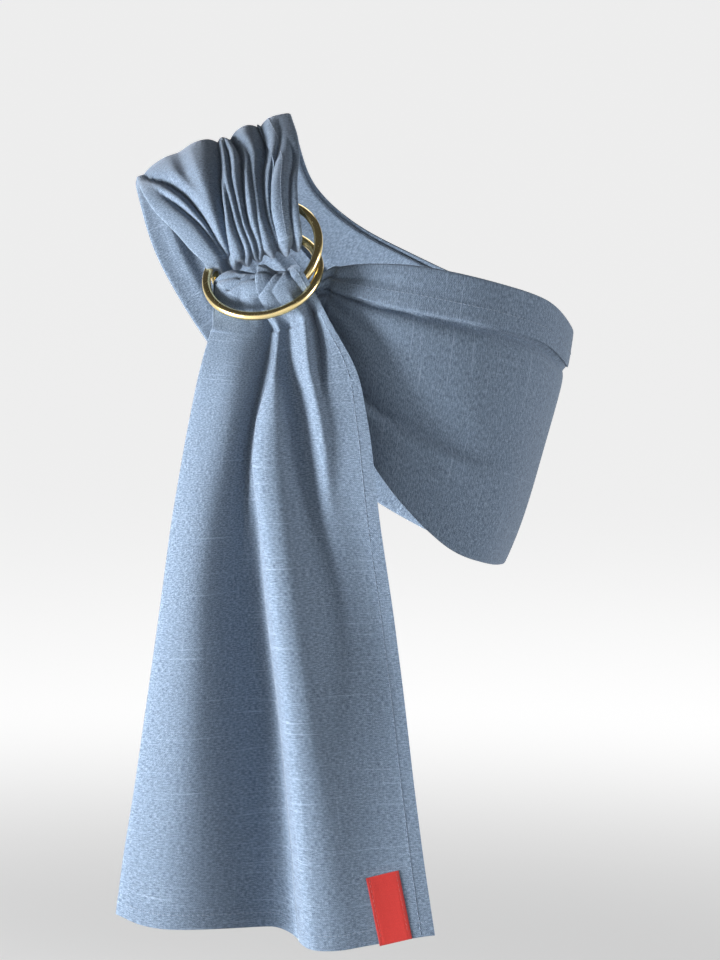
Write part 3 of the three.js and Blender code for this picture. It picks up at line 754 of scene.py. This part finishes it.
# Each stretch: its first and last key row, the fine grid's spacing in mm, and how it is held.
STRETCHES = [
    ("tail_lower_cloth", 0, key_fold, TAIL_SPACING, "hung"),
    ("tail_upper_cloth", key_fold, key_swing, 2.2, "hung"),
    ("bight_cloth", key_swing, key_over, 0.9, "gathered"),
    ("chest_cloth", key_over, key_chest, 2.2, "stretched"),
    ("side_cloth", key_chest, key_side, 3.2, "stretched"),
    ("back_cloth", key_side, key_shoulder, 3.0, "stretched"),
    ("shoulder_cloth", key_shoulder, key_lower_edge, 1.7, "gathered"),
    ("casing_cloth", key_lower_edge, last_key, 1.9, "gathered"),
]
cloth, grids = {}, {}
for name, first, last, spacing, held in STRETCHES:
    piece, grid = cloth_piece(name, first, last, spacing)
    piece.data.materials.append(LINEN)
    cloth[name], grids[name] = piece, grid

for name in ("side_cloth", "back_cloth", "shoulder_cloth", "casing_cloth"):
    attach(cloth[name], "loop")
CLOTH_BLENDS = {
    "chest_cloth": ("rear_ring", "loop", (0.062, -0.095, -0.100), (0.088, -0.093, -0.100)),
    "bight_cloth": ("neck", "rear_ring", (0.040, -0.124, -0.148), (0.040, -0.110, -0.118)),
    "tail_upper_cloth": ("upper_tail", "neck", (0.045, -0.1231, -0.204), (0.045, -0.1231, -0.166)),
    "tail_lower_cloth": ("lower_tail", "upper_tail", (0.045, -0.132, -0.400), (0.045, -0.132, -0.344)),
}
for name, (a, b, start, end) in CLOTH_BLENDS.items():
    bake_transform(cloth[name])

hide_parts("tail_lower", "tail_end_hem")
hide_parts("tail_upper")
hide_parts("tail_neck", "threaded_bight")
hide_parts("chest_throat", "chest_panel", "chest_top_band")
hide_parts("side_panel")
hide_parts("back_panel")
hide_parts("shoulder_cap")
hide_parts("ring_casing", "casing_return_flap")


# ------------------------ thread
STITCH_LENGTH = 2.7
STITCH_PITCH = 3.6
THREAD_RADIUS = 0.27
STITCH_INSET = HEM_WIDTH - 2.2
THREAD_SIDES = 6
# Along one stitch: place as a share of its length, girth and height as shares of the thread's radius.
STITCH_PROFILE = np.array([[-0.5, 0.25, -0.5], [-0.42, 0.8, 0.35], [0, 1.0, 0.6], [0.42, 0.8, 0.35],
                           [0.5, 0.25, -0.5]])


def thread_material(name, colour):
    """Twisted sewing thread, with painted shade: noise darkens its colour for the shade between its plies."""
    material, tree, shader = new_material(name)
    place = node(tree, "ShaderNodeTexCoord").outputs["Object"]
    ply = noise(tree, place, 1500.0, 1.0)
    # Painted shade: a darker copy of the thread's colour, mixed in by noise, stands in for the shade between
    # the plies.
    dark = tuple(0.55 * c for c in colour) + (1,)
    feed(tree, shader, {
        "Base Color": mix_colour(tree, ply, dark, (*colour, 1)),
        "Normal": bumps(tree, ply, 0.0002, 0.6),
        "Roughness": 0.6,
        "Sheen Weight": 0.3,
    })
    return material


def stitch_line(line, outward):
    """Stitches along a line of surface points: tapered six-sided threads, as points and quads."""
    steps = np.linalg.norm(np.diff(line, axis=0), axis=1)
    run = np.concatenate([[0], np.cumsum(steps)])
    count = int((run[-1] - STITCH_PITCH) / STITCH_PITCH)
    points, faces = [], []
    for k in range(count):
        middle = (k + 0.8) * STITCH_PITCH
        places = middle + STITCH_PROFILE[:, 0] * STITCH_LENGTH
        centre = np.stack([np.interp(places, run, line[:, c]) for c in range(3)], axis=1)
        up = unit(np.stack([np.interp(places, run, outward[:, c]) for c in range(3)], axis=1))
        along = unit(centre[-1] - centre[0])
        side = unit(np.cross(up, along))
        start = THREAD_SIDES * len(STITCH_PROFILE) * k
        for j, (_, girth, rise) in enumerate(STITCH_PROFILE):
            for c in range(THREAD_SIDES):
                angle = 2 * math.pi * c / THREAD_SIDES
                reach, lift = THREAD_RADIUS * girth, THREAD_RADIUS * rise
                points.append(centre[j] + up[j] * (lift + reach * math.sin(angle))
                              + side[j] * reach * math.cos(angle))
        for ring in range(start, start + THREAD_SIDES * (len(STITCH_PROFILE) - 1), THREAD_SIDES):
            for c in range(THREAD_SIDES):
                d = (c + 1) % THREAD_SIDES
                faces.append((ring + c, ring + d, ring + THREAD_SIDES + d, ring + THREAD_SIDES + c))
        for end in (start, start + THREAD_SIDES * (len(STITCH_PROFILE) - 1)):
            ring = [end + c for c in range(THREAD_SIDES)]
            ring = ring if end > start else ring[::-1]
            faces.append((ring[0], ring[1], ring[2], ring[3]))
            faces.append((ring[0], ring[3], ring[4], ring[5]))
    return np.array(points).reshape(-1, 3), np.array(faces).reshape(-1, 4)


def stitching(name, lines, material):
    """One piece of stitches from several lines, each points and outward directions."""
    points, faces, total = [], [], 0
    for line, outward in lines:
        made, quads = stitch_line(line, outward)
        points.append(made)
        faces.append(quads + total)
        total += len(made)
    points, faces = np.concatenate(points), np.concatenate(faces)
    piece = new_mesh(name, points, faces, points[:, [0, 2]] * MM)
    piece.data.materials.append(material)
    return piece


def rail_line(name, at_u, side):
    """The line of a seam along one rail of a stretch, on one face of the cloth."""
    points, normal, u, run = grids[name]
    column = int(np.argmin(abs(u[len(u) // 2] - at_u)))
    half = 0.5 * cloth_thickness(u, run)[:, column, None]
    outward = normal[:, column] * side
    return points[:, column] + outward * half, outward


def row_line(name, row, side, columns):
    """The line of a seam along one row of a stretch."""
    points, normal, u, run = grids[name]
    half = 0.5 * cloth_thickness(u, run)[row, columns, None]
    outward = normal[row, columns] * side
    return points[row, columns] + outward * half, outward


THREAD = thread_material("linen_thread", (0.19, 0.255, 0.35))
layer_start = np.concatenate([[0], np.cumsum(LAYER_COLUMNS)])
outer_layer = slice(layer_start[5] + 4, layer_start[6] - 4)
end_row = int(round(STITCH_INSET / TAIL_SPACING))
end_lines = [row_line("tail_lower_cloth", end_row, side, columns) for side, columns in (
    (1, slice(3, layer_start[1] - 2)),
    (1, slice(layer_start[2] + 3, layer_start[3] - 3)),
    (-1, slice(layer_start[3] + 3, layer_start[4])))]
hem_thread = stitching("hem_thread", end_lines, THREAD)
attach(hem_thread, "lower_tail")
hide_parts("hem_stitch")


def rail_thread(name):
    """The hem threads along both rails of one stretch."""
    top = rail_line(name, STITCH_INSET, 1)
    band = rail_line(name, CLOTH_WIDTH - STITCH_INSET, -1)
    return stitching(name.replace("cloth", "rail_thread"), [top, band], THREAD)


for name in ("tail_lower_cloth", "tail_upper_cloth", "bight_cloth", "chest_cloth"):
    a, b, start, end = CLOTH_BLENDS[name]
    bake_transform(rail_thread(name))
for name in ("side_cloth", "back_cloth", "shoulder_cloth"):
    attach(rail_thread(name), "loop")

flap_points = grids["casing_cloth"][0]
flap_rows = [int(share * len(flap_points)) for share in (0.72, 0.82, 0.92)]
for k, row in enumerate(flap_rows):
    line = row_line("casing_cloth", row, 1, outer_layer)
    sewn = stitching(f"casing_thread_{k + 1}", [line], THREAD)
    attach(sewn, "loop")
    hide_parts(f"casing_stitch_row_{k + 1}")

# ------------------------ the woven label
LABEL = dict(middle=(126.0, -537.0), width=24.0, height=50.0, lean=0.2, thick=1.0, corner=0.8, seam=2.2)
LABEL_ROWS = 34
RIB_PITCH = 0.00055
TWILL_PITCH = 0.0011
BORDER_START, BORDER_FULL = 0.0098, 0.0104


def red_weave():
    """A red satin-woven tape, ribbed across, with a plain darker border."""
    material, tree, shader = new_material("red_label")
    uv = node(tree, "ShaderNodeUVMap", uv_map="Cloth").outputs[0]
    parts = node(tree, "ShaderNodeSeparateXYZ", {0: uv})
    across, along = parts.outputs[0], parts.outputs[1]
    rib = math_node(tree, "SINE", times(tree, along, 2 * math.pi / RIB_PITCH))
    twill = math_node(tree, "SINE", times(tree, plus(tree, across, along), 2 * math.pi / TWILL_PITCH))
    fibre = noise(tree, uv, 900.0, 3.0)
    fade = noise(tree, uv, 70.0, 2.0)
    border = mapped(tree, math_node(tree, "ABSOLUTE", across), BORDER_START, BORDER_FULL)
    colour = mix_colour(tree, fibre, (0.34, 0.010, 0.008, 1), (0.56, 0.024, 0.016, 1))
    colour = mix_colour(tree, times(tree, fade, 0.35), colour, (0.42, 0.014, 0.011, 1))
    colour = mix_colour(tree, times(tree, border, 0.45), colour, (0.26, 0.012, 0.012, 1))
    height = plus(tree, plus(tree, rib, times(tree, twill, 0.6)), times(tree, fibre, 1.5))
    feed(tree, shader, {
        "Base Color": colour,
        "Normal": bumps(tree, height, 0.00012, 0.5),
        "Roughness": 0.62,
        "Sheen Weight": 0.08,
    })
    return material


def on_tail_front(x, z):
    """The front face of the tail's right panel under points x, z."""
    points, normal, u, run = grids["tail_lower_cloth"]
    face = points + normal * 0.5 * cloth_thickness(u, run)[..., None]
    face = face[:LABEL_ROWS, :layer_start[1]].reshape(-1, 3)
    gap = (face[:, 0] - x[:, None]) ** 2 + (face[:, 2] - z[:, None]) ** 2
    near = np.argsort(gap, axis=1)[:, :4]
    weight = 1 / (np.take_along_axis(gap, near, 1) + 0.05)
    return (face[near, 1] * weight).sum(axis=1) / weight.sum(axis=1)


def label_place(across, up):
    """World points for places on the label, in mm from its middle."""
    turn = LABEL["lean"]
    x = LABEL["middle"][0] + across * math.cos(turn) - up * math.sin(turn)
    z = LABEL["middle"][1] + up * math.cos(turn) + across * math.sin(turn)
    return np.stack([x, on_tail_front(x, z), z], axis=1)


def label_piece():
    """The folded tag, puffed inside its edges, with a groove along each seam."""
    columns, rows = 25, 51
    a = np.linspace(-0.5, 0.5, columns)
    b = np.linspace(0.5, -0.5, rows)
    across, up = np.meshgrid(a * LABEL["width"], b * LABEL["height"])
    flat = label_place(across.ravel(), up.ravel()).reshape(rows, columns, 3)
    edge = np.minimum(LABEL["width"] / 2 - abs(across), LABEL["height"] / 2 - abs(up))
    puff = LABEL["thick"] * (0.55 + 0.45 * smooth(edge, 0, LABEL["corner"]))
    groove = 0.35 * np.exp(-(((LABEL["width"] / 2 - abs(across) - LABEL["seam"]) / 0.5) ** 2))
    outer = flat - np.stack([0 * puff, puff - groove + 0.05, 0 * puff], axis=-1)
    inner = flat - np.array([0, 0.05, 0])
    count = rows * columns
    faces = np.concatenate([grid_faces(rows, columns), grid_faces(rows, columns, start=count, flip=True),
                            rim_faces(rows, columns, count)])
    uvs = np.stack([across, up], axis=-1).reshape(-1, 2) * MM
    piece = new_mesh("label_tape", np.concatenate([outer.reshape(-1, 3), inner.reshape(-1, 3)]), faces,
                     np.concatenate([uvs, uvs]))
    sharpen_rim(piece.data, rows, columns)
    piece.data.materials.append(red_weave())
    return piece


label = label_piece()
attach(label, "lower_tail")
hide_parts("label")
RED_THREAD = thread_material("red_thread", (0.42, 0.03, 0.025))
SEAM_POINTS = 40
for word, way in (("left", -1), ("right", 1)):
    up = np.linspace(0.5, -0.5, SEAM_POINTS) * LABEL["height"]
    line = label_place(np.full(SEAM_POINTS, way * (LABEL["width"] / 2 - LABEL["seam"])), up)
    line[:, 1] -= LABEL["thick"] * 0.72
    forward = np.tile([0.0, -1.0, 0.0], (SEAM_POINTS, 1))
    sewn = stitching(f"label_thread_{word}", [(line, forward)], RED_THREAD)
    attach(sewn, "lower_tail")
    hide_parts(f"label_stitch_{word}")


# ------------------------ the rings
def ring_piece(name, ring, around=220, across=36):
    """A round wire ring."""
    centre, normal, down, side = ring_frame(ring)
    a = np.linspace(0, 2 * math.pi, around, endpoint=False)[:, None]
    b = np.linspace(0, 2 * math.pi, across, endpoint=False)[None]
    radial = down * np.cos(a)[..., None] + side * np.sin(a)[..., None]
    outwards, sideways = WIRE_RADIUS * np.cos(b)[..., None], WIRE_RADIUS * np.sin(b)[..., None]
    points = centre + radial * (RING_RADIUS + outwards) + normal * sideways
    i, j = np.meshgrid(np.arange(around), np.arange(across), indexing="ij")
    i2, j2 = (i + 1) % around, (j + 1) % across
    corners = [i * across + j, i * across + j2, i2 * across + j2, i2 * across + j]
    faces = np.stack(corners, axis=-1).reshape(-1, 4)
    uvs = np.stack(np.broadcast_arrays(a, b), axis=-1).reshape(-1, 2)
    piece = new_mesh(name, points.reshape(-1, 3), faces, uvs)
    piece.data.materials.append(GOLD)
    return piece


rear = ring_piece("rear_ring_smooth", REAR_RING)
front = ring_piece("front_ring_smooth", FRONT_RING)
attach(rear, "rear_ring")
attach(front, "front_ring")
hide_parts("ring_rear")
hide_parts("ring_front")

# ------------------------ floor and light
FLOOR_LEVEL = -0.68
FLOOR_RADII = [0.5, 1.0, 2.0, 4.0, 10.0, 40.0, 200.0, 800.0]
SPOKES = 48
spoke_angles = [2 * math.pi * k / SPOKES for k in range(SPOKES)]
floor_points = [(radius * math.cos(angle), radius * math.sin(angle), FLOOR_LEVEL)
                for radius in FLOOR_RADII for angle in spoke_angles]
floor_faces = [tuple(range(SPOKES))]
for ring_number in range(len(FLOOR_RADII) - 1):
    for k in range(SPOKES):
        a, b = ring_number * SPOKES + k, ring_number * SPOKES + (k + 1) % SPOKES
        floor_faces.append((a, a + SPOKES, b + SPOKES, b))
floor_mesh = bpy.data.meshes.new("floor")
floor_mesh.from_pydata(floor_points, [], floor_faces)
floor = linked("floor", floor_mesh)

# The floor glows, dimmest near the object, which paints a soft shadow on the floor round under it, and a
# little more away from the object, so that it fades into the pale background.
floor_material, floor_tree, floor_shader = new_material("floor")
floor_place = node(floor_tree, "ShaderNodeTexCoord").outputs["Object"]
floor_flat = node(floor_tree, "ShaderNodeVectorMath", {0: floor_place, 1: (1, 1, 0)}, operation="MULTIPLY")
floor_reach = node(floor_tree, "ShaderNodeVectorMath", {0: floor_flat.outputs[0]}, operation="LENGTH")
# Painted shadow: the floor's glow is dimmest within 0.4 m of the object and rises to full by 1.8 m.
floor_glow_and_painted_shadow = mapped(floor_tree, floor_reach.outputs["Value"], 0.4, 1.8, 0.31, 0.80,
                    interpolation_type="SMOOTHSTEP")
feed(floor_tree, floor_shader, {
    "Base Color": (0.55, 0.55, 0.55, 1),
    "Roughness": 1.0,
    "Specular IOR Level": 0.0,
    "Emission Color": (1, 1, 1, 1),
    "Emission Strength": floor_glow_and_painted_shadow,
})
floor_mesh.materials.append(floor_material)

# The background is bright near the horizon and dim above, so that the lamps do the lighting.
world = bpy.data.worlds.new("studio")
world.use_nodes = True
sky = world.node_tree
sky_place = node(sky, "ShaderNodeTexCoord").outputs["Generated"]
sky_height = node(sky, "ShaderNodeSeparateXYZ", {0: sky_place}).outputs[2]
feed(sky, sky.nodes["Background"], {
    0: (1, 1, 1, 1),
    1: mapped(sky, sky_height, 0.06, 0.30, 0.88, 0.06, interpolation_type="SMOOTHSTEP"),
})
bpy.context.scene.world = world


# Each lamp is a round one: where it stands, where it points, its size across and its power in watts.
CENTRE = (0.08, -0.05, -0.25)
LAMPS = {
    "key": ((-1.25, -0.78, -0.40), (0.02, -0.10, -0.32), 0.5, 70),
    "side": ((2.7, -0.50, 0.1), CENTRE, 1.1, 28),
    "front": ((0.9, -3.1, 0.6), CENTRE, 1.6, 5),
    "rim": ((0.5, 1.9, 1.5), CENTRE, 1.2, 10),
}
for name, (location, target, size, power) in LAMPS.items():
    data = bpy.data.lights.new(name, "AREA")
    data.shape = "DISK"
    data.size = size
    data.energy = power
    lamp = linked(name, data)
    lamp.location = location
    lamp.rotation_euler = (Vector(target) - Vector(location)).to_track_quat("-Z", "Y").to_euler()
bpy.context.scene.view_settings.view_transform = "Standard"
